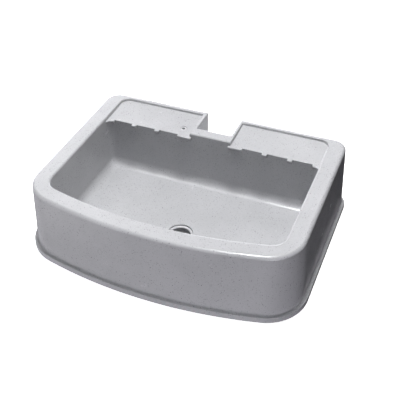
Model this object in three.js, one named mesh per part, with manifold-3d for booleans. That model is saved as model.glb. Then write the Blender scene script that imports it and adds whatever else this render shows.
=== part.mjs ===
// Resin wash basin: a one-piece resin moulding with a bowed front, two sunk rear
// shelves and a service notch, with its drain outlet, strainer, ledge bush and the
// threaded inserts that fix it to a stand.
//
// Millimetres, +Z up, front towards -Y. Origin: middle of the footprint, on the
// plane that the base flange rests on.
import * as THREE from 'three';
import * as BufferGeometryUtils from 'three/addons/utils/BufferGeometryUtils.js';
import Module from 'manifold-3d';

// ---------------------------------------------------------------- dimensions
const RIM_W = 750;          // width of the rim
const RIM_D = 576;          // front centre of the rim to the rear wall
const HEIGHT = 205;         // base plane to rim top
const BOW = 56.5;           // how far the front bows out over the full width
const R_FRONT = 100;        // front corners of the apron, in plan
const R_REAR = 43;          // rear corners of the apron, in plan
const R_RIM = 9;            // rounding of the rim's outer edge
const DRAFT = 0.054;        // outward flare of the apron, per mm of depth
const COVE_R = 4;           // cove above the base flange
const FLANGE_OUT = 19.5;    // base flange beyond the rim outline
const FLANGE_H = 17;        // height of the base flange's outer face
const WALL = 8;             // shell thickness

const RIM_SIDE = 49;        // rim width at the sides
const RIM_FRONT = 48.2;     // rim width at the front centre
const BOW_IN = 45.7;        // bow of the opening's front edge
const R_OPEN_FRONT = 41;    // front corners of the bowl, in plan
const R_OPEN_REAR = 22;     // rear corners of the bowl, in plan
const R_EDGE = 5.5;         // rounding of the opening's edge
const BOWL_BACK = 449.5;    // rear wall of the bowl, from the front centre of the rim
const BOWL_DRAFT = 0.05;    // taper of the bowl's side and front walls
const BACK_DRAFT = 0.02;    // taper of the bowl's rear wall
const FLOOR_R = 28.5;       // radius between walls and floor
const FLOOR_Z = 34.5;       // floor height along the walls
const DRAIN_Z = 29.2;       // floor height at the outlet
const DRAIN_Y = 223.5;      // outlet centre from the front centre of the rim

const SHELF_BACK = 558.5;   // rear edge of the sunk shelves
const SHELF_IN = 62.5;      // inner end of each shelf from the centre line
const R_SHELF = 28;         // rear outer corner of each shelf, in plan
const SHELF_DEEP_REAR = 7.5;   // shelf below the rim at its rear edge
const SHELF_DEEP_FRONT = 11.5; // and at its front edge, so water runs to the bowl
const LUG_OUT = 8.8;        // lugs stand this far into the bowl
const LUG_T = 8;            // lug thickness
const LUGS = [[57, 99.4], [158, 172.6], [232, 246.4]]; // along X, each side
const WEB_X = 305;          // a web rounds each rear corner of the bowl from here outwards
const R_WEB = 17.5;

const NOTCH_HALF = 53.5;    // half width of the service notch
const NOTCH_Y = 482;        // front face of the notch
const R_NOTCH = 5;          // its inner corners

const OUTLET_R = 31.5;      // hole in the floor
const RECESS_R = 35.3;      // recess that takes the outlet's flange
const SEAT_Z = 22;          // seat of the flange
const BOSS_R = 46;          // boss under the outlet
const BOSS_Z = 12.5;

const HOLE_X = -94.3;       // small hole in the left shelf
const HOLE_Y = 482;
const FIX_R = 10;           // fixing pillars
const FIX = [['rear_left', -338, 538], ['rear_right', 338, 538], ['front_left', -331, 79], ['front_right', 331, 79]];

const Y_MID = (RIM_D - FLANGE_OUT) / 2; // shifts the front-centre datum to the middle of the footprint

// ---------------------------------------------------------------- manifold helpers
const wasm = await Module();
wasm.setup();

function toManifold(geometry) {
  const g = geometry.clone();
  g.deleteAttribute('normal');
  g.deleteAttribute('uv');
  const m = BufferGeometryUtils.mergeVertices(g, 1e-4);
  return new wasm.Manifold(new wasm.Mesh({
    numProp: 3,
    vertProperties: new Float32Array(m.attributes.position.array),
    triVerts: new Uint32Array(m.index.array),
  }));
}

function toGeometry(manifold) {
  const mesh = manifold.getMesh();
  const g = new THREE.BufferGeometry();
  g.setAttribute('position', new THREE.BufferAttribute(new Float32Array(mesh.vertProperties), 3));
  g.setIndex(new THREE.BufferAttribute(new Uint32Array(mesh.triVerts), 1));
  const flat = g.toNonIndexed();
  flat.computeVertexNormals();
  return flat;
}

// Closed skin through a stack of rings, lowest first. Each ring is a list of [x, y, z]
// running anticlockwise seen from above, all with the same number of points.
function loft(rings) {
  const n = rings[0].length;
  const pos = [];
  const put = (a, b, c) => pos.push(...a, ...b, ...c);
  for (let k = 0; k + 1 < rings.length; k++) {
    const lo = rings[k], hi = rings[k + 1];
    for (let i = 0; i < n; i++) {
      const j = (i + 1) % n;
      put(lo[i], lo[j], hi[j]);
      put(lo[i], hi[j], hi[i]);
    }
  }
  const cap = (ring, up) => {
    const pts = ring.map((p) => new THREE.Vector2(p[0], p[1]));
    for (const [a, b, c] of THREE.ShapeUtils.triangulateShape(pts, [])) {
      if (up) put(ring[a], ring[b], ring[c]); else put(ring[a], ring[c], ring[b]);
    }
  };
  cap(rings[0], false);
  cap(rings[rings.length - 1], true);
  const g = new THREE.BufferGeometry();
  g.setAttribute('position', new THREE.Float32BufferAttribute(pos, 3));
  return toManifold(g);
}

function lathe(points, segments, x, y) {
  const g = new THREE.LatheGeometry(points.map(([r, z]) => new THREE.Vector2(r, z)), segments);
  g.rotateX(Math.PI / 2);
  g.translate(x, y - Y_MID, 0);
  return g;
}

function cylinder(r, z0, z1, segments, x, y) {
  const g = new THREE.CylinderGeometry(r, r, z1 - z0, segments);
  g.rotateX(Math.PI / 2);
  g.translate(x, y - Y_MID, (z0 + z1) / 2);
  return toManifold(g);
}

function box(x0, x1, y0, y1, z0, z1) {
  const g = new THREE.BoxGeometry(x1 - x0, y1 - y0, z1 - z0);
  g.translate((x0 + x1) / 2, (y0 + y1) / 2 - Y_MID, (z0 + z1) / 2);
  return toManifold(g);
}

// ---------------------------------------------------------------- plan curves
const arc = (cx, cy, rx, ry, a0, a1, n) => {
  const pts = [];
  for (let i = 0; i <= n; i++) {
    const t = a0 + (a1 - a0) * i / n;
    pts.push([cx + rx * Math.cos(t), cy + ry * Math.sin(t)]);
  }
  return pts;
};

// Plan with a bowed front, rounded front corners, straight sides and a straight back.
// grow moves the front and sides out, growBack moves the back.
function plan({ half, y0, sag, rf, back, rr, grow, growBack, nBow = 9, nF = 7, nR = 5 }) {
  const Rb = (half * half + sag * sag) / (2 * sag);
  const cy = y0 + Rb;
  const fx = half - rf;
  const fy = cy - Math.sqrt((Rb - rf) ** 2 - fx * fx);
  const a = Math.atan2(fy - cy, fx);
  const rx = Math.max(rr + grow, 2);
  const ry = Math.max(rr + growBack, 2);
  const right = [
    ...arc(0, cy, Rb + grow, Rb + grow, -Math.PI / 2, a, nBow),
    ...arc(fx, fy, rf + grow, rf + grow, a, 0, nF).slice(1),
    ...arc(half + grow - rx, back + growBack - ry, rx, ry, 0, Math.PI / 2, nR),
  ];
  const left = right.slice(1).reverse().map(([x, y]) => [-x, y]);
  return [...right, ...left];
}

const lift = (pts, z) => pts.map(([x, y]) => [x, y - Y_MID, typeof z === 'function' ? z(y) : z]);

const apron = (grow, growBack, z) => lift(plan({
  half: RIM_W / 2, y0: 0, sag: BOW, rf: R_FRONT, back: RIM_D, rr: R_REAR, grow, growBack,
}), z);

const bowl = (grow, growBack, z) => lift(plan({
  half: RIM_W / 2 - RIM_SIDE, y0: RIM_FRONT, sag: BOW_IN, rf: R_OPEN_FRONT,
  back: BOWL_BACK, rr: R_OPEN_REAR, grow, growBack,
}), z);

// ---------------------------------------------------------------- outer body
const flare = (z) => DRAFT * (HEIGHT - z);
const coveTop = FLANGE_H + COVE_R;
const outerRings = [];
outerRings.push(apron(FLANGE_OUT, 0, 0));
outerRings.push(apron(FLANGE_OUT - 0.1, 0, FLANGE_H - 1.2));
outerRings.push(apron(FLANGE_OUT - 1.2, 0, FLANGE_H));
for (const t of [90, 60, 30, 0]) {
  const a = t * Math.PI / 180;
  outerRings.push(apron(flare(coveTop) + COVE_R * (1 - Math.cos(a)), 0, coveTop - COVE_R * Math.sin(a) + (t === 90 ? 0.05 : 0)));
}
for (const t of [0, 30, 60, 90]) {
  const a = t * Math.PI / 180;
  const s = -R_RIM * (1 - Math.cos(a));
  outerRings.push(apron(flare(HEIGHT - R_RIM) * (1 - t / 90) + s, s, HEIGHT - R_RIM + R_RIM * Math.sin(a)));
}
const outer = loft(outerRings);

// ---------------------------------------------------------------- bowl cavity
const bowlWall = (z) => -BOWL_DRAFT * (HEIGHT - z);
const backWall = (z) => -BACK_DRAFT * (HEIGHT - z);
const drainRing = (r, z, like) => like.map(([x, y]) => {
  const t = Math.atan2(y + Y_MID - DRAIN_Y, x);
  return [r * Math.cos(t), DRAIN_Y + r * Math.sin(t) - Y_MID, z];
});

function cavity(thick) {
  // thick grows the cavity into the outside of the bowl's own wall
  const rings = [];
  const r = FLOOR_R + thick;
  const zc = FLOOR_Z + FLOOR_R;
  const lastGrow = bowlWall(zc) + thick - r;
  const last = bowl(lastGrow, backWall(zc) + thick - r, FLOOR_Z - thick);
  rings.push(drainRing(30, DRAIN_Z - thick, last));
  rings.push(last);
  for (const t of [68, 46, 23, 0]) {
    const a = t * Math.PI / 180;
    const s = thick - r * (1 - Math.cos(a));
    const z = zc - r * Math.sin(a);
    rings.push(bowl(bowlWall(zc) + s, backWall(zc) + s, z));
  }
  if (thick > 0) {
    rings.push(bowl(bowlWall(HEIGHT) + thick, thick, HEIGHT + 2));
  } else {
    for (const t of [0, 30, 60, 90]) {
      const a = t * Math.PI / 180;
      const s = R_EDGE * (1 - Math.cos(a));
      rings.push(bowl(s, s, HEIGHT - R_EDGE + R_EDGE * Math.sin(a)));
    }
    rings.push(bowl(R_EDGE, R_EDGE, HEIGHT + 2));
  }
  return loft(rings);
}
const bowlCut = cavity(0);
const bowlOuter = cavity(WALL);

// ---------------------------------------------------------------- shelves
const shelfZ = (y) => HEIGHT - SHELF_DEEP_REAR
  - (SHELF_BACK - y) * (SHELF_DEEP_FRONT - SHELF_DEEP_REAR) / (SHELF_BACK - BOWL_BACK);

function shelfPlan(grow) {
  const half = RIM_W / 2 - RIM_SIDE;
  const y0 = BOWL_BACK - R_OPEN_REAR - 1.5;
  const rIn = 3 + grow;
  return [
    [SHELF_IN - grow, y0], [half + grow, y0],
    ...arc(half - R_SHELF, SHELF_BACK - R_SHELF, R_SHELF + grow, R_SHELF + grow, 0, Math.PI / 2, 6),
    ...arc(SHELF_IN + 3, SHELF_BACK - 3, rIn, rIn, Math.PI / 2, Math.PI, 3),
  ];
}
function shelfCut(side) {
  const mirror = (pts) => (side > 0 ? pts : pts.slice().reverse().map(([x, y]) => [-x, y]));
  const rings = [];
  rings.push(lift(mirror(shelfPlan(-0.6)), shelfZ));
  const r = 3.5;
  for (const t of [0, 45, 90]) {
    const a = t * Math.PI / 180;
    rings.push(lift(mirror(shelfPlan(r * (1 - Math.cos(a)))), HEIGHT - r + r * Math.sin(a)));
  }
  rings.push(lift(mirror(shelfPlan(r)), HEIGHT + 2));
  return loft(rings);
}
function slab(x0, x1, y0, y1, zTop, below) {
  const pts = [[x0, y0], [x1, y0], [x1, y1], [x0, y1]];
  return loft([lift(pts, (y) => shelfZ(y) - below), lift(pts, zTop)]);
}

// ---------------------------------------------------------------- notch
function notchCut() {
  const ring = (grow, z) => lift([
    ...arc(NOTCH_HALF - R_NOTCH, NOTCH_Y + R_NOTCH, R_NOTCH + grow, R_NOTCH + grow, -Math.PI / 2, 0, 3),
    [NOTCH_HALF + grow, RIM_D + 20], [-NOTCH_HALF - grow, RIM_D + 20],
    ...arc(-NOTCH_HALF + R_NOTCH, NOTCH_Y + R_NOTCH, R_NOTCH + grow, R_NOTCH + grow, Math.PI, 1.5 * Math.PI, 3),
  ], z);
  const r = 3;
  const rings = [ring(0, -2)];
  for (const t of [0, 45, 90]) {
    const a = t * Math.PI / 180;
    rings.push(ring(r * (1 - Math.cos(a)), HEIGHT - r + r * Math.sin(a)));
  }
  rings.push(ring(r, HEIGHT + 2));
  return loft(rings);
}

// ---------------------------------------------------------------- shell
let inside = loft([
  apron(flare(0) - WALL, -WALL, -2),
  apron(flare(180) - WALL, -WALL, 182),
  apron(-WALL - 2, -WALL - 2, 191),
  apron(-WALL - 7, -WALL - 7, 196.5),
]);
inside = inside.subtract(bowlOuter);
inside = inside.subtract(box(-NOTCH_HALF - WALL, NOTCH_HALF + WALL, NOTCH_Y - WALL, RIM_D, -3, HEIGHT));
for (const s of [-1, 1]) {
  const a = s > 0 ? 50 : -345, b = s > 0 ? 345 : -50;
  inside = inside.subtract(slab(a, b, BOWL_BACK - 4, RIM_D, HEIGHT, WALL));
}
inside = inside.subtract(cylinder(BOSS_R, BOSS_Z, 40, 40, 0, DRAIN_Y));
inside = inside.subtract(cylinder(14, 183, 200, 24, HOLE_X, HOLE_Y));
for (const [, x, y] of FIX) inside = inside.subtract(cylinder(FIX_R, 1, 200, 20, x, y));

let shell = outer.subtract(inside).subtract(bowlCut);
shell = shell.subtract(shelfCut(1)).subtract(shelfCut(-1)).subtract(notchCut());
for (const s of [-1, 1]) {
  for (const [x0, x1] of LUGS) {
    const a = s > 0 ? x0 : -x1, b = s > 0 ? x1 : -x0;
    const lug = (yf, z) => [[a, yf - Y_MID, z(yf)], [b, yf - Y_MID, z(yf)], [b, BOWL_BACK + 3 - Y_MID, z(BOWL_BACK + 3)], [a, BOWL_BACK + 3 - Y_MID, z(BOWL_BACK + 3)]];
    const yf = BOWL_BACK - LUG_OUT;
    let piece = loft([
      lug(BOWL_BACK - 1, (y) => HEIGHT - SHELF_DEEP_FRONT - LUG_T - 6),
      lug(yf, (y) => HEIGHT - SHELF_DEEP_FRONT - LUG_T + 2),
      lug(yf, (y) => shelfZ(y) - 0.9),
      lug(yf + 0.9, (y) => shelfZ(y) - 0.02),
    ]);
    shell = shell.add(piece);
  }
  const web = (back, z) => {
    const yf = BOWL_BACK - LUG_OUT + back;
    const pts = [
      [WEB_X, yf], ...arc(RIM_W / 2 - RIM_SIDE - R_WEB, yf - R_WEB, R_WEB, R_WEB, Math.PI / 2, 0, 6),
      [RIM_W / 2 - RIM_SIDE + 4, yf - R_WEB], [RIM_W / 2 - RIM_SIDE + 4, BOWL_BACK + 3], [WEB_X, BOWL_BACK + 3],
    ];
    return lift(s > 0 ? pts : pts.reverse().map(([x, y]) => [-x, y]), z);
  };
  shell = shell.add(loft([
    web(LUG_OUT - 1, HEIGHT - SHELF_DEEP_FRONT - LUG_T - 6),
    web(0, HEIGHT - SHELF_DEEP_FRONT - LUG_T + 2),
    web(0, (y) => shelfZ(y) - 0.9),
    web(0.9, (y) => shelfZ(y) - 0.02),
  ]));
}
shell = shell.subtract(cylinder(RECESS_R, SEAT_Z, 60, 48, 0, DRAIN_Y));
shell = shell.subtract(cylinder(OUTLET_R, 0, 60, 48, 0, DRAIN_Y));
shell = shell.subtract(cylinder(8.6, 191.7, 210, 28, HOLE_X, HOLE_Y));
shell = shell.subtract(cylinder(6.9, 170, 210, 28, HOLE_X, HOLE_Y));
for (const [, x, y] of FIX) shell = shell.subtract(cylinder(5.3, -1, 16, 20, x, y));

// ---------------------------------------------------------------- outlet and small parts
const drainBody = lathe([
  [24, 2.6], [31.2, 2.6], [31.2, 23.2], [34.8, 23.2], [34.9, 24.6], [34.3, 25.1], [30.0, 23.2],
  [29, 22.2], [29, 11], [24, 11], [24, 2.6],
], 36, 0, DRAIN_Y);
const topSeal = lathe([[31.8, 22.2], [34.8, 22.2], [34.8, 23.0], [31.8, 23.0], [31.8, 22.2]], 28, 0, DRAIN_Y);
const bottomSeal = lathe([[31.6, 10.4], [43, 10.4], [43, 12.3], [31.6, 12.3], [31.6, 10.4]], 28, 0, DRAIN_Y);
const slipWasher = lathe([[31.6, 9.1], [43, 9.1], [43, 10.2], [31.6, 10.2], [31.6, 9.1]], 28, 0, DRAIN_Y);

const nutShape = new THREE.Shape();
const lobes = 8;
for (let i = 0; i < lobes * 6; i++) {
  const t = (i / (lobes * 6)) * Math.PI * 2;
  const r = 41.5 + (Math.floor(i / 3) % 2 ? 0 : 3);
  if (i === 0) nutShape.moveTo(r * Math.cos(t), r * Math.sin(t)); else nutShape.lineTo(r * Math.cos(t), r * Math.sin(t));
}
nutShape.closePath();
const nutHole = new THREE.Path();
nutHole.absarc(0, 0, 31.6, 0, Math.PI * 2, true);
nutShape.holes.push(nutHole);
const backnut = new THREE.ExtrudeGeometry(nutShape, { depth: 6, bevelEnabled: false, curveSegments: 20 });
backnut.translate(0, DRAIN_Y - Y_MID, 2.9);

// Basket: a perforated cup with a rim that sits on the outlet's ledge and a lift knob.
let basket = toManifold(lathe([
  [0, 7.4], [20.5, 7.4], [22.6, 8.6], [23.2, 11.3], [28.4, 11.3], [28.4, 13.6], [27.8, 14.2], [22, 14.2], [20.6, 13.2],
  [20.0, 9.6], [5.2, 9.6], [3.2, 11.2], [3.0, 17.2], [5.2, 18.6], [5.6, 20.4], [4.2, 21.6], [0, 21.9],
], 28, 0, DRAIN_Y));
for (const [r, n, off] of [[9.2, 8, 0], [15.2, 12, 0.2]]) {
  for (let i = 0; i < n; i++) {
    const t = off + (i / n) * Math.PI * 2;
    basket = basket.subtract(cylinder(1.7, 6, 11, 6, r * Math.cos(t), DRAIN_Y + r * Math.sin(t)));
  }
}

const bush = lathe([[5, 176], [6.5, 176], [6.5, 192], [8.2, 192], [8.2, 193.0], [7.8, 193.4], [5.6, 193.4], [5, 192.8], [5, 176]], 20, HOLE_X, HOLE_Y);
const hex = new THREE.Shape();
for (let i = 0; i < 6; i++) {
  const t = (i / 6) * Math.PI * 2;
  if (i === 0) hex.moveTo(11 * Math.cos(t), 11 * Math.sin(t)); else hex.lineTo(11 * Math.cos(t), 11 * Math.sin(t));
}
hex.closePath();
const hexHole = new THREE.Path();
hexHole.absarc(0, 0, 6.8, 0, Math.PI * 2, true);
hex.holes.push(hexHole);
const bushNut = new THREE.ExtrudeGeometry(hex, { depth: 4.5, bevelEnabled: false, curveSegments: 14 });
bushNut.translate(HOLE_X, HOLE_Y - Y_MID, 178.2);

// ---------------------------------------------------------------- assembly
const root = new THREE.Group();
function add(name, geometry, color, roughness, metalness) {
  const mesh = new THREE.Mesh(geometry, new THREE.MeshStandardMaterial({ color, roughness, metalness }));
  mesh.name = name;
  root.add(mesh);
  return mesh;
}
add('basin_shell', toGeometry(shell), 0xc9cacf, 0.35, 0);
add('drain_body', drainBody, 0xc4c5c9, 0.3, 0);
add('strainer_basket', toGeometry(basket), 0x26262a, 0.5, 0);
add('drain_top_seal', topSeal, 0x2a2a2c, 0.8, 0);
add('drain_bottom_seal', bottomSeal, 0x2a2a2c, 0.8, 0);
add('drain_slip_washer', slipWasher, 0xe4e4e2, 0.6, 0);
add('drain_backnut', backnut, 0xb9babd, 0.45, 0);
add('ledge_bush', bush, 0xd0d1d5, 0.35, 0);
add('ledge_bush_nut', bushNut, 0xb9babd, 0.45, 0);
for (const [tag, x, y] of FIX) {
  add(`fixing_insert_${tag}`, lathe([[3.4, 1.4], [5, 1.4], [5, 14.6], [3.4, 14.6], [3.4, 1.4]], 14, x, y), 0xb59a55, 0.35, 0.9);
}

export default root;
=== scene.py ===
import bpy
import bmesh
import math
from mathutils import Matrix, Vector


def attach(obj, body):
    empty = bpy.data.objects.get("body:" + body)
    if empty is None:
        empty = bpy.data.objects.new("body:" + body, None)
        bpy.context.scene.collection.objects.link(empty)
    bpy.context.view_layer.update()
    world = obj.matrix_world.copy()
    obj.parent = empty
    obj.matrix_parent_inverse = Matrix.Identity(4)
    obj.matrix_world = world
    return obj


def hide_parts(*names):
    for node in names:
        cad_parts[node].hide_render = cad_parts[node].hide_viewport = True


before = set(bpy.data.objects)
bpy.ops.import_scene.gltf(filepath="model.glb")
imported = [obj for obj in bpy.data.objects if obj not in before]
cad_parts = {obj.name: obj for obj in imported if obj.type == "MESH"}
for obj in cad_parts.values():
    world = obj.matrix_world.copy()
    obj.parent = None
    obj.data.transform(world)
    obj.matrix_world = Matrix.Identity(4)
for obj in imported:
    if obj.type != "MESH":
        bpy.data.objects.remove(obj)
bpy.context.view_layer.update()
S = 0.001  # the shapes below are written in millimetres

# ------------------------------------------------------------------ dimensions (mm)
RIM_W, RIM_D, HEIGHT, BOW = 750.0, 576.0, 205.0, 56.5
R_FRONT, R_REAR, R_RIM, DRAFT = 100.0, 43.0, 9.0, 0.054
COVE_R, FLANGE_OUT, FLANGE_H, WALL = 4.0, 19.5, 17.0, 8.0
RIM_SIDE, RIM_FRONT, BOW_IN = 49.0, 48.2, 45.7
R_OPEN_FRONT, R_OPEN_REAR, R_EDGE = 41.0, 22.0, 5.5
BOWL_BACK, BOWL_DRAFT, BACK_DRAFT = 449.5, 0.05, 0.02
FLOOR_R, FLOOR_Z, DRAIN_Z, DRAIN_Y = 28.5, 34.5, 29.2, 223.5
SHELF_BACK, SHELF_IN, R_SHELF = 558.5, 62.5, 28.0
SHELF_DEEP_REAR, SHELF_DEEP_FRONT = 7.5, 11.5
LUG_OUT, LUG_T = 8.8, 8.0
LUGS = [(57, 99.4), (158, 172.6), (232, 246.4)]
WEB_X, R_WEB = 305.0, 17.5
NOTCH_HALF, NOTCH_Y, R_NOTCH = 53.5, 482.0, 5.0
OUTLET_R, RECESS_R, SEAT_Z, BOSS_R, BOSS_Z = 31.5, 35.3, 22.0, 46.0, 12.5
HOLE_X, HOLE_Y, FIX_R = -94.3, 482.0, 10.0
FIX = [("rear_left", -338, 538), ("rear_right", 338, 538), ("front_left", -331, 79), ("front_right", 331, 79)]
Y_MID = (RIM_D - FLANGE_OUT) / 2

N_BOW, N_F, N_R = ((44, 22, 16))
N_FIL = 10


# ------------------------------------------------------------------ mesh helpers
def link(mesh, name):
    ob = bpy.data.objects.new(name, mesh)
    bpy.context.scene.collection.objects.link(ob)
    return ob


def from_bm(bm, name):
    mesh = bpy.data.meshes.new(name)
    bm.to_mesh(mesh)
    bm.free()
    return link(mesh, name)


def loft(rings, name, cap_low=True, cap_high=True):
    """Closed skin through rings of (x, y, z) in mm, lowest first, anticlockwise from above."""
    bm = bmesh.new()
    rows = [[bm.verts.new((x * S, y * S, z * S)) for x, y, z in ring] for ring in rings]
    n = len(rows[0])
    for lo, hi in zip(rows[:-1], rows[1:]):
        for i in range(n):
            j = (i + 1) % n
            bm.faces.new((lo[i], lo[j], hi[j], hi[i]))
    if cap_low:
        bm.faces.new(list(reversed(rows[0])))
    if cap_high:
        bm.faces.new(rows[-1])
    bm.normal_update()
    return from_bm(bm, name)


def lathe(profile, segments, x, y, name):
    """Closed body of revolution about a vertical axis. profile is a closed loop of (r, z) in mm,
    anticlockwise in the (r, z) plane; points with r = 0 become one vertex each."""
    bm = bmesh.new()
    cols = []
    for i in range(segments):
        t = 2 * math.pi * i / segments
        cols.append([None if r < 1e-6 else bm.verts.new(((x + r * math.cos(t)) * S, (y - Y_MID + r * math.sin(t)) * S, z * S)) for r, z in profile])
    poles = [bm.verts.new((x * S, (y - Y_MID) * S, z * S)) if r < 1e-6 else None for r, z in profile]
    m = len(profile)
    for i in range(segments):
        a, b = cols[i], cols[(i + 1) % segments]
        for k in range(m):
            q = (k + 1) % m
            loop = []
            for v in (a[k] or poles[k], b[k] or poles[k], b[q] or poles[q], a[q] or poles[q]):
                if v not in loop:
                    loop.append(v)
            if len(loop) > 2:
                bm.faces.new(loop)
    bmesh.ops.recalc_face_normals(bm, faces=bm.faces)
    return from_bm(bm, name)


def rounded(points, radii, n=5):
    """Closed (r, z) loop with its corners rounded."""
    out = []
    m = len(points)
    for i in range(m):
        p0, p1, p2 = Vector(points[i - 1]), Vector(points[i]), Vector(points[(i + 1) % m])
        r = radii[i] if isinstance(radii, (list, tuple)) else radii
        if r <= 0:
            out.append(tuple(p1))
            continue
        a, b = (p0 - p1), (p2 - p1)
        la, lb = a.length, b.length
        a.normalize(); b.normalize()
        ang = math.acos(max(-1, min(1, a.dot(b))))
        cut = min(r / math.tan(ang / 2), la * 0.49, lb * 0.49)
        rr = cut * math.tan(ang / 2)
        centre = p1 + (a + b).normalized() * (rr / math.sin(ang / 2))
        s, e = p1 + a * cut - centre, p1 + b * cut - centre
        sweep = math.atan2(s.x * e.y - s.y * e.x, s.dot(e))
        for k in range(n + 1):
            t = sweep * k / n
            out.append((centre.x + s.x * math.cos(t) - s.y * math.sin(t), centre.y + s.x * math.sin(t) + s.y * math.cos(t)))
    return out


def cyl(r, z0, z1, seg, x, y, name="c"):
    ring = lambda z: [(x + r * math.cos(2 * math.pi * i / seg), y - Y_MID + r * math.sin(2 * math.pi * i / seg), z) for i in range(seg)]
    return loft([ring(z0), ring(z1)], name)


def block(x0, x1, y0, y1, z0, z1, name="b"):
    ring = lambda z: [(x0, y0 - Y_MID, z), (x1, y0 - Y_MID, z), (x1, y1 - Y_MID, z), (x0, y1 - Y_MID, z)]
    return loft([ring(z0), ring(z1)], name)


def boolean(target, tool, op):
    m = target.modifiers.new("b", "BOOLEAN")
    m.operation = op
    m.solver = "MANIFOLD"
    m.object = tool
    deps = bpy.context.evaluated_depsgraph_get()
    done = bpy.data.meshes.new_from_object(target.evaluated_get(deps))
    target.modifiers.clear()
    old = target.data
    target.data = done
    bpy.data.meshes.remove(old)
    bpy.data.objects.remove(tool)
    return target


cut = lambda a, b: boolean(a, b, "DIFFERENCE")
join = lambda a, b: boolean(a, b, "UNION")


def tidy(ob, name):
    bm = bmesh.new()
    bm.from_mesh(ob.data)
    bmesh.ops.remove_doubles(bm, verts=bm.verts, dist=3e-6)
    bmesh.ops.dissolve_degenerate(bm, edges=bm.edges, dist=2e-6)
    bm.to_mesh(ob.data)
    bm.free()
    ob.name = name
    ob.data.name = name


def smooth(ob, angle=32):
    for p in ob.data.polygons:
        p.use_smooth = True
    ob.data.set_sharp_from_angle(angle=math.radians(angle))
    w = ob.modifiers.new("normals", "WEIGHTED_NORMAL")
    w.keep_sharp = True
    w.mode = "FACE_AREA"
    w.weight = 60


# ------------------------------------------------------------------ plan curves
def arc(cx, cy, rx, ry, a0, a1, n):
    return [(cx + rx * math.cos(a0 + (a1 - a0) * i / n), cy + ry * math.sin(a0 + (a1 - a0) * i / n)) for i in range(n + 1)]


def plan(half, y0, sag, rf, back, rr, grow, grow_back):
    rb = (half * half + sag * sag) / (2 * sag)
    cy = y0 + rb
    fx = half - rf
    fy = cy - math.sqrt((rb - rf) ** 2 - fx * fx)
    a = math.atan2(fy - cy, fx)
    rx, ry = max(rr + grow, 2), max(rr + grow_back, 2)
    right = arc(0, cy, rb + grow, rb + grow, -math.pi / 2, a, N_BOW)
    right += arc(fx, fy, rf + grow, rf + grow, a, 0, N_F)[1:]
    right += arc(half + grow - rx, back + grow_back - ry, rx, ry, 0, math.pi / 2, N_R)
    left = [(-x, y) for x, y in reversed(right[1:])]
    return right + left


def lift(pts, z):
    return [(x, y - Y_MID, z(y) if callable(z) else z) for x, y in pts]


def apron(grow, grow_back, z):
    return lift(plan(RIM_W / 2, 0, BOW, R_FRONT, RIM_D, R_REAR, grow, grow_back), z)


def bowl(grow, grow_back, z):
    return lift(plan(RIM_W / 2 - RIM_SIDE, RIM_FRONT, BOW_IN, R_OPEN_FRONT, BOWL_BACK, R_OPEN_REAR, grow, grow_back), z)


def quarter(n):
    return [math.pi / 2 * i / n for i in range(n + 1)]


# ------------------------------------------------------------------ basin shell
def flare(z):
    return DRAFT * (HEIGHT - z)


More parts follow.
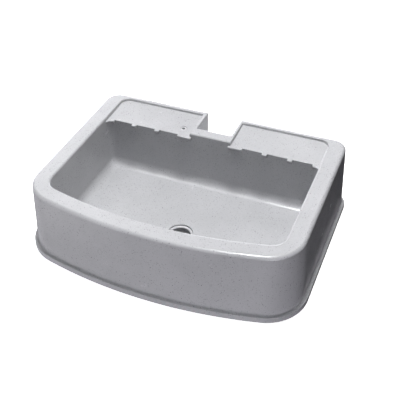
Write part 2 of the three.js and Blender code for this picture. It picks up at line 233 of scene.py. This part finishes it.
def make_shell():
    cove_top = FLANGE_H + COVE_R
    rings = []
    e = 1.0
    for a in quarter(3):
        rings.append(apron(FLANGE_OUT - e + e * math.sin(a), 0, e - e * math.cos(a)))
    e = 1.1
    for a in quarter(4):
        rings.append(apron(FLANGE_OUT - 0.1 - e + e * math.cos(a), 0, FLANGE_H - e + e * math.sin(a)))
    for a in reversed(quarter(N_FIL)):
        rings.append(apron(flare(cove_top) + COVE_R * (1 - math.cos(a)), 0, cove_top - COVE_R * math.sin(a) + 0.02))
    for k in range(1, 6):
        z = cove_top + (HEIGHT - R_RIM - cove_top) * k / 6
        rings.append(apron(flare(z), 0, z))
    for a in quarter(N_FIL):
        s = -R_RIM * (1 - math.cos(a))
        rings.append(apron(flare(HEIGHT - R_RIM) * (1 - a / (math.pi / 2)) + s, s, HEIGHT - R_RIM + R_RIM * math.sin(a)))
    shell = loft(rings, "shell")

    bowl_wall = lambda z: -BOWL_DRAFT * (HEIGHT - z)
    back_wall = lambda z: -BACK_DRAFT * (HEIGHT - z)

    def drain_ring(r, z, like):
        out = []
        for x, y, _ in like:
            t = math.atan2(y + Y_MID - DRAIN_Y, x)
            out.append((r * math.cos(t), DRAIN_Y + r * math.sin(t) - Y_MID, z))
        return out

    def cavity(thick, name):
        rs = []
        r = FLOOR_R + thick
        zc = FLOOR_Z + FLOOR_R
        g = bowl_wall(zc) + thick - r
        last = bowl(g, back_wall(zc) + thick - r, FLOOR_Z - thick)
        low = drain_ring(30, DRAIN_Z - thick, last)
        steps = 6
        for k in range(steps):
            t = k / steps
            z = DRAIN_Z + (FLOOR_Z - DRAIN_Z) * t - thick
            rs.append([(a[0] + (b[0] - a[0]) * t, a[1] + (b[1] - a[1]) * t, z) for a, b in zip(low, last)])
        rs.append(last)
        for a in reversed(quarter(N_FIL + 2)[:-1]):
            s = thick - r * (1 - math.cos(a))
            rs.append(bowl(bowl_wall(zc) + s, back_wall(zc) + s, zc - r * math.sin(a)))
        if thick > 0:
            rs.append(bowl(bowl_wall(HEIGHT) + thick, thick, HEIGHT + 2))
        else:
            for k in range(1, 4):
                z = zc + (HEIGHT - R_EDGE - zc) * k / 4
                rs.append(bowl(bowl_wall(z), back_wall(z), z))
            for a in quarter(N_FIL):
                s = R_EDGE * (1 - math.cos(a))
                rs.append(bowl(s, s, HEIGHT - R_EDGE + R_EDGE * math.sin(a)))
            rs.append(bowl(R_EDGE, R_EDGE, HEIGHT + 2))
        return loft(rs, name)

    shelf_z = lambda y: HEIGHT - SHELF_DEEP_REAR - (SHELF_BACK - y) * (SHELF_DEEP_FRONT - SHELF_DEEP_REAR) / (SHELF_BACK - BOWL_BACK)

    def shelf_plan(grow):
        half = RIM_W / 2 - RIM_SIDE
        y0 = BOWL_BACK - R_OPEN_REAR - 1.5
        pts = [(SHELF_IN - grow, y0), (half + grow, y0)]
        pts += arc(half - R_SHELF, SHELF_BACK - R_SHELF, R_SHELF + grow, R_SHELF + grow, 0, math.pi / 2, N_R)
        pts += arc(SHELF_IN + 3, SHELF_BACK - 3, 3 + grow, 3 + grow, math.pi / 2, math.pi, 6)
        return pts

    def shelf_cut(side):
        m = (lambda pts: pts) if side > 0 else (lambda pts: [(-x, y) for x, y in reversed(pts)])
        rs = []
        foot = 1.6
        for a in quarter(4):
            g = -0.6 - foot * (1 - math.sin(a))
            rs.append(lift(m(shelf_plan(g)), lambda y, a=a: shelf_z(y) + foot * (1 - math.cos(a))))
        r = 2.4
        for a in quarter(N_FIL):
            rs.append(lift(m(shelf_plan(r * (1 - math.cos(a)))), HEIGHT - r + r * math.sin(a)))
        rs.append(lift(m(shelf_plan(r)), HEIGHT + 2))
        return loft(rs, "shelf")

    def slab(x0, x1, y0, y1, z_top, below):
        pts = [(x0, y0), (x1, y0), (x1, y1), (x0, y1)]
        return loft([lift(pts, lambda y: shelf_z(y) - below), lift(pts, z_top)], "slab")

    def notch_cut():
        def ring(grow, z):
            pts = arc(NOTCH_HALF - R_NOTCH, NOTCH_Y + R_NOTCH, R_NOTCH + grow, R_NOTCH + grow, -math.pi / 2, 0, 8)
            pts += [(NOTCH_HALF + grow, RIM_D + 20), (-NOTCH_HALF - grow, RIM_D + 20)]
            pts += arc(-NOTCH_HALF + R_NOTCH, NOTCH_Y + R_NOTCH, R_NOTCH + grow, R_NOTCH + grow, math.pi, 1.5 * math.pi, 8)
            return lift(pts, z)
        r = 3
        rs = [ring(0, -2)]
        for a in quarter(N_FIL):
            rs.append(ring(r * (1 - math.cos(a)), HEIGHT - r + r * math.sin(a)))
        rs.append(ring(r, HEIGHT + 2))
        return loft(rs, "notch")

    inside = loft([
        apron(flare(0) - WALL, -WALL, -2), apron(flare(90) - WALL, -WALL, 90), apron(flare(180) - WALL, -WALL, 182),
        apron(-WALL - 2, -WALL - 2, 191), apron(-WALL - 7, -WALL - 7, 196.5)], "inside")
    cut(inside, cavity(WALL, "bowl_outer"))
    cut(inside, block(-NOTCH_HALF - WALL, NOTCH_HALF + WALL, NOTCH_Y - WALL, RIM_D, -3, HEIGHT))
    for s in (-1, 1):
        a, b = (50, 345) if s > 0 else (-345, -50)
        cut(inside, slab(a, b, BOWL_BACK - 4, RIM_D, HEIGHT, WALL))
    cut(inside, cyl(BOSS_R, BOSS_Z, 40, 96, 0, DRAIN_Y))
    cut(inside, cyl(14, 183, 200, 48, HOLE_X, HOLE_Y))
    for _, x, y in FIX:
        cut(inside, cyl(FIX_R, 1, 200, 40, x, y))

    cut(shell, inside)
    cut(shell, cavity(0, "bowl_cut"))
    cut(shell, shelf_cut(1))
    cut(shell, shelf_cut(-1))
    # rounded front edge of the shelves, where they drop to the bowl
    for s in (-1, 1):
        r = 2.2
        z_low = lambda y: shelf_z(y) - r
        rs = [bowl(bowl_wall(190) - 0.5, back_wall(190) - 0.5, lambda y: z_low(y) - 1.0)]
        g0, b0 = bowl_wall(190), back_wall(190)
        for t in quarter(6):
            k = r * (1 - math.cos(t))
            rs.append(bowl(g0 + k, b0 + k, lambda y, t=t: z_low(y) + r * math.sin(t)))
        rs.append(bowl(g0 + r, b0 + r, lambda y: shelf_z(y) + 1.5))
        edge = loft(rs, "edge")
        a, b = (SHELF_IN - 0.4, 325.6) if s > 0 else (-325.6, -SHELF_IN + 0.4)
        boolean(edge, block(a, b, BOWL_BACK - R_OPEN_REAR - 1.2, BOWL_BACK + 10, 150, 220), "INTERSECT")
        cut(shell, edge)
    for s in (-1, 1):
        for x0, x1 in LUGS:
            a, b = (x0, x1) if s > 0 else (-x1, -x0)
            r = 1.8
            yb = BOWL_BACK + 3
            yf = BOWL_BACK - LUG_OUT

            def ring(front, z, inset=0.0):
                # plan of one lug: two rounded front corners
                pts = arc(a + r + inset, front + r, r, r, math.pi, 1.5 * math.pi, 4) + arc(b - r - inset, front + r, r, r, 1.5 * math.pi, 2 * math.pi, 4)
                pts += [(b - inset, yb), (a + inset, yb)]
                return [(x, y - Y_MID, z(y) if callable(z) else z) for x, y in pts]
            under = HEIGHT - SHELF_DEEP_FRONT - LUG_T
            join(shell, loft([
                ring(BOWL_BACK - 1.2, under - 6), ring(yf + 0.6, under + 1.4), ring(yf, under + 2.4),
                ring(yf, lambda y: shelf_z(y) - 1.3), ring(yf + 0.35, lambda y: shelf_z(y) - 0.45, 0.3), ring(yf + 1.1, lambda y: shelf_z(y) - 0.01, 0.8)], "lug"))
        # web that rounds the rear corner of the bowl at shelf level
        def web(back, z):
            yf = BOWL_BACK - LUG_OUT + back
            x1 = RIM_W / 2 - RIM_SIDE
            pts = [(WEB_X, yf)] + arc(x1 - R_WEB, yf - R_WEB, R_WEB, R_WEB, 0.5 * math.pi, 0, 14)
            pts += [(x1 + 4, yf - R_WEB), (x1 + 4, BOWL_BACK + 3), (WEB_X, BOWL_BACK + 3)]
            pts = pts if s > 0 else [(-x, y) for x, y in reversed(pts)]
            return [(x, y - Y_MID, z(y) if callable(z) else z) for x, y in pts]
        join(shell, loft([
            web(LUG_OUT - 1, HEIGHT - SHELF_DEEP_FRONT - LUG_T - 6), web(0.6, HEIGHT - SHELF_DEEP_FRONT - LUG_T + 1.4),
            web(0, HEIGHT - SHELF_DEEP_FRONT - LUG_T + 2.4), web(0, lambda y: shelf_z(y) - 1.3),
            web(0.35, lambda y: shelf_z(y) - 0.45), web(1.1, lambda y: shelf_z(y) - 0.01)], "web"))
    cut(shell, notch_cut())
    mouth = [(RECESS_R, SEAT_Z), (RECESS_R, 28.3), (RECESS_R + 0.15, 28.75), (RECESS_R + 0.5, 29.15), (RECESS_R + 1.1, 29.42), (RECESS_R + 1.1, 60)]
    cut(shell, loft([[(r * math.cos(2 * math.pi * i / 96), DRAIN_Y - Y_MID + r * math.sin(2 * math.pi * i / 96), z) for i in range(96)] for r, z in mouth], "mouth"))
    cut(shell, cyl(OUTLET_R, 0, 60, 96, 0, DRAIN_Y))
    cut(shell, cyl(8.6, 191.7, 210, 48, HOLE_X, HOLE_Y))
    cut(shell, loft([[(r * math.cos(2 * math.pi * i / 48) + HOLE_X, HOLE_Y - Y_MID + r * math.sin(2 * math.pi * i / 48), z) for i in range(48)]
                     for r, z in ((8.6, 192.5), (9.8, 193.9), (9.8, 210))], "hole_edge"))
    cut(shell, cyl(6.9, 170, 210, 48, HOLE_X, HOLE_Y))
    for _, x, y in FIX:
        cut(shell, cyl(5.3, -1, 16, 32, x, y))
    tidy(shell, "basin_resin_shell")

    return shell


shell = make_shell()

# ------------------------------------------------------------------ small parts
SEG = 128
drain_body = lathe(rounded([
    (24, 2.6), (31.2, 2.6), (31.2, 23.2), (34.8, 23.2), (34.9, 24.8), (34.2, 25.1), (30.3, 23.5),
    (29, 22.0), (29, 11), (24, 11)],
    [0.3, 0.6, 0.2, 0.3, 0.3, 0.3, 1.2, 0.8, 0.3, 0.4], 4), SEG, 0, DRAIN_Y, "drain_outlet_body")

strainer = lathe(rounded([
    (0, 7.4), (20.5, 7.4), (22.6, 8.6), (23.2, 11.3), (28.4, 11.3), (28.4, 14.2), (22, 14.2), (20.4, 13.2),
    (20.0, 9.6), (5.2, 9.6), (3.2, 11.2), (3.0, 17.2), (5.2, 18.6), (5.7, 20.4), (4.4, 21.7), (0, 21.9)],
    [0, 0.8, 0.8, 0.4, 0.3, 0.8, 0.8, 0.6, 0.8, 1.0, 1.0, 0.8, 0.8, 0.7, 0.8, 0], 4), SEG, 0, DRAIN_Y, "strainer_cup")
for r, n, off in ((9.2, 8, 0.0), (15.2, 12, 0.2)):
    for i in range(n):
        t = off + i / n * 2 * math.pi
        cut(strainer, cyl(1.7, 6, 11, 20, r * math.cos(t), DRAIN_Y + r * math.sin(t)))
tidy(strainer, "strainer_cup")

top_seal = lathe(rounded([(31.8, 22.2), (34.8, 22.2), (34.8, 23.0), (31.8, 23.0)], 0.3, 3), SEG, 0, DRAIN_Y, "outlet_top_seal")
bottom_seal = lathe(rounded([(31.6, 10.4), (43, 10.4), (43, 12.3), (31.6, 12.3)], 0.6, 4), SEG, 0, DRAIN_Y, "outlet_bottom_seal")
slip_washer = lathe(rounded([(31.6, 9.1), (43, 9.1), (43, 10.2), (31.6, 10.2)], 0.25, 3), SEG, 0, DRAIN_Y, "outlet_slip_washer")


def ring_extrusion(outline, hole_r, z0, z1, chamfer, x, y, name):
    """A nut: an outline given as r(angle), a round hole, and rounded outer edges."""
    n = 240
    bm = bmesh.new()
    rows = []
    levels = [(chamfer, z0, "o")]
    levels = []
    k = 4
    for i in range(k + 1):
        a = math.pi / 2 * i / k
        levels.append((-chamfer * (1 - math.sin(a)), z0 + chamfer * (1 - math.cos(a)), True))
    for i in range(k + 1):
        a = math.pi / 2 * i / k
        levels.append((-chamfer * (1 - math.cos(a)), z1 - chamfer + chamfer * math.sin(a), True))
    ch = 0.5
    levels.append((ch, z1, False)); levels.append((0, z1 - ch, False))
    levels.append((0, z0 + ch, False)); levels.append((ch, z0, False))
    for grow, z, is_outer in levels:
        row = []
        for i in range(n):
            t = 2 * math.pi * i / n
            r = (outline(t) + grow) if is_outer else hole_r + grow
            row.append(bm.verts.new(((x + r * math.cos(t)) * S, (y - Y_MID + r * math.sin(t)) * S, z * S)))
        rows.append(row)
    m = len(rows)
    for q in range(m):
        lo, hi = rows[q], rows[(q + 1) % m]
        for i in range(n):
            j = (i + 1) % n
            bm.faces.new((lo[i], lo[j], hi[j], hi[i]))
    bmesh.ops.recalc_face_normals(bm, faces=bm.faces)
    return from_bm(bm, name)


def lobed(t):
    # eight grip lobes with soft flanks
    s = math.sin(8 * t)
    return 43.0 + 1.5 * math.tanh(3.2 * s)


def hexagon(t):
    u = (t + math.pi / 6) % (math.pi / 3) - math.pi / 6
    flat = 11 * math.cos(math.pi / 6)
    u = (t % (math.pi / 3)) - math.pi / 6
    return min(flat / math.cos(u), 10.75)


backnut = ring_extrusion(lobed, 31.6, 2.9, 8.9, 0.8, 0, DRAIN_Y, "outlet_backnut")
bush_nut = ring_extrusion(hexagon, 6.8, 178.2, 182.7, 0.5, HOLE_X, HOLE_Y, "bush_hex_nut")
bush = lathe(rounded([(5, 176), (6.5, 176), (6.5, 192), (8.2, 192), (8.2, 193.4), (5, 193.4)],
                     [0.3, 0.4, 0.2, 0.2, 1.3, 0.5], 5), SEG // 2, HOLE_X, HOLE_Y, "ledge_bush_ring")

inserts = {}
for tag, x, y in FIX:
    prof = [(3.4, 1.9), (3.9, 1.4), (4.6, 1.4), (5.0, 1.8)]
    for z in (5.6, 10.0):  # two grooves round the knurled barrel
        prof += [(5.0, z), (4.55, z + 0.3), (4.55, z + 0.9), (5.0, z + 1.2)]
    prof += [(5.0, 14.2), (4.6, 14.6), (3.4, 14.6)]
    # thread turns inside
    z = 14.2
    while z > 2.6:
        prof += [(3.4, z), (3.75, z - 0.35), (3.4, z - 0.7)]
        z -= 1.0
    inserts[tag] = lathe(prof, 48, x, y, "brass_insert_" + tag)


# ------------------------------------------------------------------ materials
def new_material(name):
    m = bpy.data.materials.new(name)
    m.use_nodes = True
    nt = m.node_tree
    nt.nodes.clear()
    out = nt.nodes.new("ShaderNodeOutputMaterial")
    bsdf = nt.nodes.new("ShaderNodeBsdfPrincipled")
    nt.links.new(bsdf.outputs["BSDF"], out.inputs["Surface"])
    coord = nt.nodes.new("ShaderNodeTexCoord")
    return m, nt, bsdf, coord.outputs["Object"]


def noise(nt, vec, scale, detail=2.0, rough=0.5, offset=None):
    n = nt.nodes.new("ShaderNodeTexNoise")
    n.inputs["Scale"].default_value = scale
    n.inputs["Detail"].default_value = detail
    n.inputs["Roughness"].default_value = rough
    if offset:
        mp = nt.nodes.new("ShaderNodeMapping")
        mp.inputs["Location"].default_value = offset
        nt.links.new(vec, mp.inputs["Vector"])
        vec = mp.outputs["Vector"]
    nt.links.new(vec, n.inputs["Vector"])
    return n.outputs["Fac"]


def ramp(nt, fac, stops, interp="LINEAR"):
    r = nt.nodes.new("ShaderNodeValToRGB")
    r.color_ramp.interpolation = interp
    el = r.color_ramp.elements
    while len(el) < len(stops):
        el.new(0.5)
    for e, (p, c) in zip(el, stops):
        e.position = p
        e.color = (c, c, c, 1) if isinstance(c, (int, float)) else (*c, 1)
    nt.links.new(fac, r.inputs["Fac"])
    return r.outputs["Color"]


def mix_color(nt, fac, a, b, mode="MIX"):
    m = nt.nodes.new("ShaderNodeMix")
    m.data_type = "RGBA"
    m.blend_type = mode
    fs = [s for s in m.inputs if s.name == "Factor" and s.type == "VALUE"][0]
    sa = [s for s in m.inputs if s.name == "A" and s.type == "RGBA"][0]
    sb = [s for s in m.inputs if s.name == "B" and s.type == "RGBA"][0]
    so = [s for s in m.outputs if s.type == "RGBA"][0]
    for sock, v in ((fs, fac), (sa, a), (sb, b)):
        if isinstance(v, bpy.types.NodeSocket):
            nt.links.new(v, sock)
        elif isinstance(v, (int, float)):
            sock.default_value = v
        else:
            sock.default_value = (*v, 1)
    return so


def bump(nt, bsdf, height, strength, distance):
    b = nt.nodes.new("ShaderNodeBump")
    b.inputs["Strength"].default_value = strength
    b.inputs["Distance"].default_value = distance
    nt.links.new(height, b.inputs["Height"])
    nt.links.new(b.outputs["Normal"], bsdf.inputs["Normal"])


def specks(nt, vec, scale, size, keep, warp=0.0):
    """Scattered round-ish specks: 1 inside a speck. keep is the share of cells that hold one."""
    v = nt.nodes.new("ShaderNodeTexVoronoi")
    v.feature = "F1"
    v.inputs["Scale"].default_value = scale
    v.inputs["Randomness"].default_value = 1.0
    nt.links.new(vec, v.inputs["Vector"])
    inside = nt.nodes.new("ShaderNodeMath"); inside.operation = "LESS_THAN"
    nt.links.new(v.outputs["Distance"], inside.inputs[0])
    sep = nt.nodes.new("ShaderNodeSeparateColor")
    nt.links.new(v.outputs["Color"], sep.inputs["Color"])
    # speck size differs from cell to cell
    sz = nt.nodes.new("ShaderNodeMath"); sz.operation = "MULTIPLY_ADD"
    nt.links.new(sep.outputs["Green"], sz.inputs[0])
    sz.inputs[1].default_value = size * 0.9
    sz.inputs[2].default_value = size * 0.45
    nt.links.new(sz.outputs[0], inside.inputs[1])
    chosen = nt.nodes.new("ShaderNodeMath"); chosen.operation = "LESS_THAN"
    nt.links.new(sep.outputs["Red"], chosen.inputs[0])
    chosen.inputs[1].default_value = keep
    both = nt.nodes.new("ShaderNodeMath"); both.operation = "MULTIPLY"
    nt.links.new(inside.outputs[0], both.inputs[0])
    nt.links.new(chosen.outputs[0], both.inputs[1])
    return both.outputs[0]


def resin_material(name, base=(0.438, 0.4395, 0.454), rough=0.215, back=False):
    m, nt, bsdf, vec = new_material(name)
    # slow cloudiness of the cast resin
    cloud = ramp(nt, noise(nt, vec, 9, 3, 0.55), [(0.35, 0.955), (0.65, 1.03)])
    col = mix_color(nt, 1.0, base, cloud, "MULTIPLY")
    # fine mineral grain, light and dark
    fine = ramp(nt, noise(nt, vec, 900, 2, 0.6), [(0.32, 0.90), (0.5, 1.0), (0.70, 1.06)])
    col = mix_color(nt, 1.0, col, fine, "MULTIPLY")
    mid = specks(nt, vec, 330, 0.30, 0.30)
    col = mix_color(nt, mid, col, (0.36, 0.362, 0.375))
    pale = specks(nt, vec, 300, 0.22, 0.07)
    col = mix_color(nt, pale, col, (0.50, 0.502, 0.515))
    dust = specks(nt, vec, 210, 0.24, 0.50)
    col = mix_color(nt, dust, col, (0.300, 0.301, 0.315))
    dark = specks(nt, vec, 120, 0.125, 0.42)
    col = mix_color(nt, dark, col, (0.185, 0.185, 0.196))
    brown = specks(nt, vec, 70, 0.070, 0.16)
    col = mix_color(nt, brown, col, (0.20, 0.18, 0.17))
    nt.links.new(col, bsdf.inputs["Base Color"])
    # satin skin: polish varies slowly
    r = ramp(nt, noise(nt, vec, 26, 4, 0.6, (3.1, 1.7, 0.4)), [(0.3, rough - 0.04), (0.7, rough + 0.06)])
    nt.links.new(r, bsdf.inputs["Roughness"])
    bsdf.inputs["Specular IOR Level"].default_value = 0.5
    bsdf.inputs["IOR"].default_value = 1.5
    hgt = mix_color(nt, 0.35, noise(nt, vec, 420, 3, 0.6), noise(nt, vec, 34, 2, 0.5, (0.7, 0.2, 0.9)))
    bump(nt, bsdf, hgt, 0.09 if not back else 0.9, 0.0006 if not back else 0.0012)
    return m


def plastic_material(name, base, rough, speckle=0.0, grain=600, bump_s=0.15):
    m, nt, bsdf, vec = new_material(name)
    cloud = ramp(nt, noise(nt, vec, 60, 3, 0.6), [(0.3, 0.93), (0.7, 1.05)])
    col = mix_color(nt, 1.0, base, cloud, "MULTIPLY")
    if speckle:
        sp = specks(nt, vec, 420, 0.28, speckle)
        col = mix_color(nt, sp, col, tuple(c * 0.55 for c in base))
    nt.links.new(col, bsdf.inputs["Base Color"])
    r = ramp(nt, noise(nt, vec, 150, 4, 0.6, (0.3, 0.9, 0.5)), [(0.3, rough - 0.05), (0.7, rough + 0.07)])
    nt.links.new(r, bsdf.inputs["Roughness"])
    bump(nt, bsdf, noise(nt, vec, grain, 3, 0.6), bump_s, 0.0003)
    return m


def rubber_material(name, base=(0.032, 0.032, 0.034)):
    m, nt, bsdf, vec = new_material(name)
    cloud = ramp(nt, noise(nt, vec, 220, 4, 0.6), [(0.3, 0.75), (0.7, 1.25)])
    nt.links.new(mix_color(nt, 1.0, base, cloud, "MULTIPLY"), bsdf.inputs["Base Color"])
    r = ramp(nt, noise(nt, vec, 300, 3, 0.6), [(0.3, 0.6), (0.7, 0.8)])
    nt.links.new(r, bsdf.inputs["Roughness"])
    bsdf.inputs["Specular IOR Level"].default_value = 0.35
    bump(nt, bsdf, noise(nt, vec, 1600, 3, 0.6), 0.25, 0.0002)
    return m


def brass_material(name):
    m, nt, bsdf, vec = new_material(name)
    tone = ramp(nt, noise(nt, vec, 180, 4, 0.6), [(0.3, (0.52, 0.36, 0.13)), (0.7, (0.74, 0.56, 0.27))])
    nt.links.new(tone, bsdf.inputs["Base Color"])
    bsdf.inputs["Metallic"].default_value = 1.0
    r = ramp(nt, noise(nt, vec, 320, 3, 0.6, (0.2, 0.4, 0.1)), [(0.3, 0.26), (0.7, 0.45)])
    nt.links.new(r, bsdf.inputs["Roughness"])
    bump(nt, bsdf, noise(nt, vec, 1200, 3, 0.6), 0.2, 0.0002)
    return m


resin = resin_material("resin_speckled")
outlet_plastic = plastic_material("outlet_plastic", (0.47, 0.47, 0.485), 0.46, 0.08)
# near-black strainer plastic: painted shade, its dark colour stands in for the shade deep inside the outlet
strainer_plastic = plastic_material("strainer_plastic", (0.035, 0.035, 0.038), 0.42)
nut_plastic = plastic_material("nut_plastic", (0.36, 0.37, 0.39), 0.45, 0.0, 500, 0.25)
washer_plastic = plastic_material("washer_plastic", (0.62, 0.62, 0.60), 0.5, 0.0, 700, 0.2)
bush_plastic = plastic_material("bush_plastic", (0.58, 0.58, 0.595), 0.30, 0.0)
rubber = rubber_material("seal_rubber")
brass = brass_material("insert_brass")


def dress(ob, material, body, nodes, angle=32):
    ob.data.materials.clear()
    ob.data.materials.append(material)
    smooth(ob, angle)
    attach(ob, body)
    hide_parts(*nodes)


dress(shell, resin, "basin", ["basin_shell"], 34)
dress(drain_body, outlet_plastic, "basin", ["drain_body"])
dress(strainer, strainer_plastic, "strainer", ["strainer_basket"])
dress(top_seal, rubber, "basin", ["drain_top_seal"])
dress(bottom_seal, rubber, "basin", ["drain_bottom_seal"])
dress(slip_washer, washer_plastic, "basin", ["drain_slip_washer"])
dress(backnut, nut_plastic, "basin", ["drain_backnut"])
dress(bush, bush_plastic, "basin", ["ledge_bush"])
dress(bush_nut, nut_plastic, "basin", ["ledge_bush_nut"])
for tag, ob in inserts.items():
    dress(ob, brass, "basin", ["fixing_insert_" + tag], 40)

# ------------------------------------------------------------------ floor
bm = bmesh.new()
R = 40.0
rows = []
for j in range(9):
    rows.append([bm.verts.new((-R + 2 * R * i / 8, -R + 2 * R * j / 8, -0.0005)) for i in range(9)])
for j in range(8):
    for i in range(8):
        bm.faces.new((rows[j][i], rows[j][i + 1], rows[j + 1][i + 1], rows[j + 1][i]))
floor = from_bm(bm, "studio_floor")
fm, nt, bsdf, vec = new_material("studio_floor_paper")
tone = ramp(nt, noise(nt, vec, 3, 3, 0.5), [(0.3, 0.90), (0.7, 0.92)])
nt.links.new(tone, bsdf.inputs["Base Color"])
bsdf.inputs["Roughness"].default_value = 0.95
bsdf.inputs["Specular IOR Level"].default_value = 0.0
bsdf.inputs["Emission Color"].default_value = (1, 1, 1, 1)
bsdf.inputs["Emission Strength"].default_value = 0.80
floor.data.materials.append(fm)
floor.visible_diffuse = False
floor.visible_glossy = False
floor.visible_shadow = False


# ------------------------------------------------------------------ light
def area(name, loc, target, sx, sy, power, color=(1, 1, 1)):
    d = bpy.data.lights.new(name, "AREA")
    d.shape = "RECTANGLE"
    d.size, d.size_y = sx, sy
    d.energy = power
    d.color = color
    ob = bpy.data.objects.new(name, d)
    bpy.context.scene.collection.objects.link(ob)
    ob.location = loc
    ob.rotation_euler = (Vector(target) - Vector(loc)).to_track_quat("-Z", "Y").to_euler()
    return ob


def card(name, elevation, azimuth, size, power, color=(1, 1, 1)):
    """A soft card 3 m away, aimed at the basin; azimuth 0 is behind it and 90 is to its right."""
    t, p = math.radians(azimuth), math.radians(elevation)
    aim = Vector((0, 0, 0.12))
    loc = aim + 3.0 * Vector((math.sin(t) * math.cos(p), math.cos(t) * math.cos(p), math.sin(p)))
    return area(name, loc, aim, size, size, power, color)


COOL = (1.0, 0.98, 1.05)
area("key_overhead", (0.12, 0.20, 3.05), (0, 0, 0.12), 0.55, 0.55, 93)
card("high_left", 68, 270, 1.0, 15.3)
card("high_front", 68, 180, 1.0, 13.0, (0.95, 0.985, 1.05))
card("rear_left", 42, 315, 1.2, 8.3)
card("rear", 42, 0, 1.2, 4.5)
card("low_rear_left", 8, 315, 2.2, 35, COOL)
card("low_rear", 8, 350, 1.1, 30, COOL)
# light that a wide pale floor throws back up, as cards below the floor's level
card("floor_rear", -10, 350, 1.1, 40, COOL)
card("floor_rear_left", -10, 315, 2.2, 40, COOL)
card("floor_front_right", -10, 143, 1.4, 34, COOL)
card("floor_front_left", -10, 225, 2.2, 29, (1.0, 0.993, 1.0))
card("floor_front", -10, 180, 2.0, 6.5, (1.0, 0.993, 1.0))
card("floor_left", -10, 270, 2.2, 5.7, COOL)
card("near_floor_left", -32, 270, 2.0, 8.4, COOL)
card("near_floor_front_left", -32, 225, 2.0, 5.6, COOL)
card("near_floor_front", -32, 180, 2.0, 3.4, COOL)

# low fill behind the basin, which reaches the left side of the rear notch
notch_fill = area("notch_fill", (0.22, 0.60, 0.16), (-0.05, 0.25, 0.15), 0.20, 0.20, 2.0)
notch_fill.visible_camera = False
notch_fill.visible_glossy = False

world = bpy.data.worlds.new("studio")
bpy.context.scene.world = world
world.use_nodes = True
wn = world.node_tree
back = wn.nodes["Background"]
back.inputs["Color"].default_value = (0.97, 0.98, 1.0, 1)
back.inputs["Strength"].default_value = 0.0
pale = wn.nodes.new("ShaderNodeBackground")
pale.inputs["Color"].default_value = (0.97, 0.975, 0.98, 1)
pale.inputs["Strength"].default_value = 1.0
path = wn.nodes.new("ShaderNodeLightPath")
pick = wn.nodes.new("ShaderNodeMixShader")
wn.links.new(path.outputs["Is Camera Ray"], pick.inputs[0])
wn.links.new(back.outputs[0], pick.inputs[1])
wn.links.new(pale.outputs[0], pick.inputs[2])
wn.links.new(pick.outputs[0], wn.nodes["World Output"].inputs["Surface"])

# ------------------------------------------------------------------ camera
a, e, roll = 0.383, 0.688, -0.005
fwd = Vector((-math.sin(a) * math.cos(e), math.cos(a) * math.cos(e), -math.sin(e)))
right = Vector((math.cos(a), math.sin(a), 0))
up = right.cross(fwd)
X = math.cos(roll) * right + math.sin(roll) * up
Y = -math.sin(roll) * right + math.cos(roll) * up
cam_data = bpy.data.cameras.new("camera")
cam_data.sensor_width = 36
cam_data.lens = 730.531 / 400 * 36
cam_data.clip_end = 200
cam = bpy.data.objects.new("camera", cam_data)
bpy.context.scene.collection.objects.link(cam)
loc = Vector((0.75 * 825.363, 0.75 * -1551.68 - 278.25, 205 + 0.75 * 1586.775)) * S
cam.matrix_world = Matrix(((X.x, Y.x, -fwd.x, loc.x), (X.y, Y.y, -fwd.y, loc.y), (X.z, Y.z, -fwd.z, loc.z), (0, 0, 0, 1)))
bpy.context.scene.camera = cam

bpy.context.scene.view_settings.view_transform = "Standard"
bpy.context.scene.view_settings.look = "None"
bpy.context.scene.view_settings.exposure = 0.0
